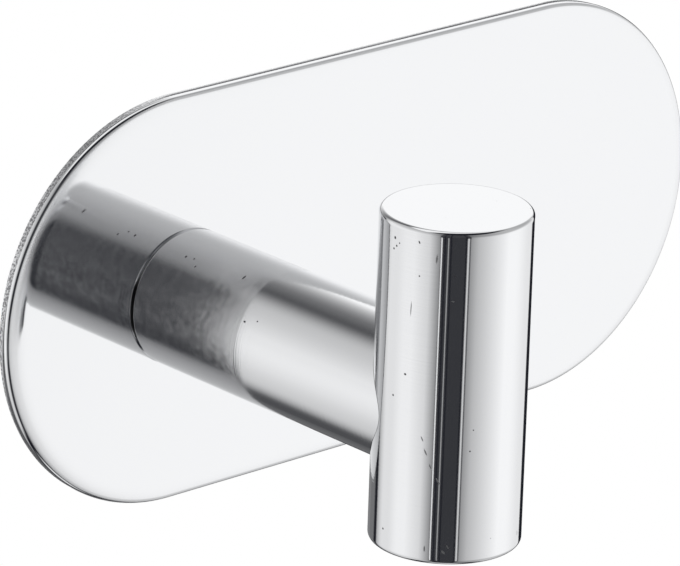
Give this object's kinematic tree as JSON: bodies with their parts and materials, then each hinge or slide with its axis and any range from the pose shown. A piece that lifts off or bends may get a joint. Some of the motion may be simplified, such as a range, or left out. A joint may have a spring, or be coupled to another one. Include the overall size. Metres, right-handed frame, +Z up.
{
  "type": "adhesive wall hook",
  "caption": "Polished steel adhesive wall hook: round-ended stick-on plate with an off-centre round post that carries an upright round peg to hang loops from.",
  "frame": {"origin": "centre of the adhesive face that is pressed onto the wall, at the middle of the plate's length and height", "axes": "+Y into the wall, so the hook stands out towards -Y; +X to the right along the plate; +Z up"},
  "size_m": [0.1, 0.0524, 0.046],
  "materials": {
    "plate_steel": "polished",
    "tube_steel": "polished",
    "turned_steel": "satin",
    "foam": "matte",
    "adhesive": "gloss"
  },
  "bodies": {
    "root": {"back_plate": "plate_steel", "plate_adhesive_film": "adhesive", "adhesive_foam": "foam", "wall_adhesive_film": "adhesive", "post_tube": "tube_steel", "post_foot_plug": "turned_steel", "locating_pin": "turned_steel", "peg_tube": "tube_steel", "peg_top_cap": "tube_steel", "peg_bottom_cap": "tube_steel", "peg_slug": "turned_steel", "tie_screw": "turned_steel"}
  },
  "joints": []
}
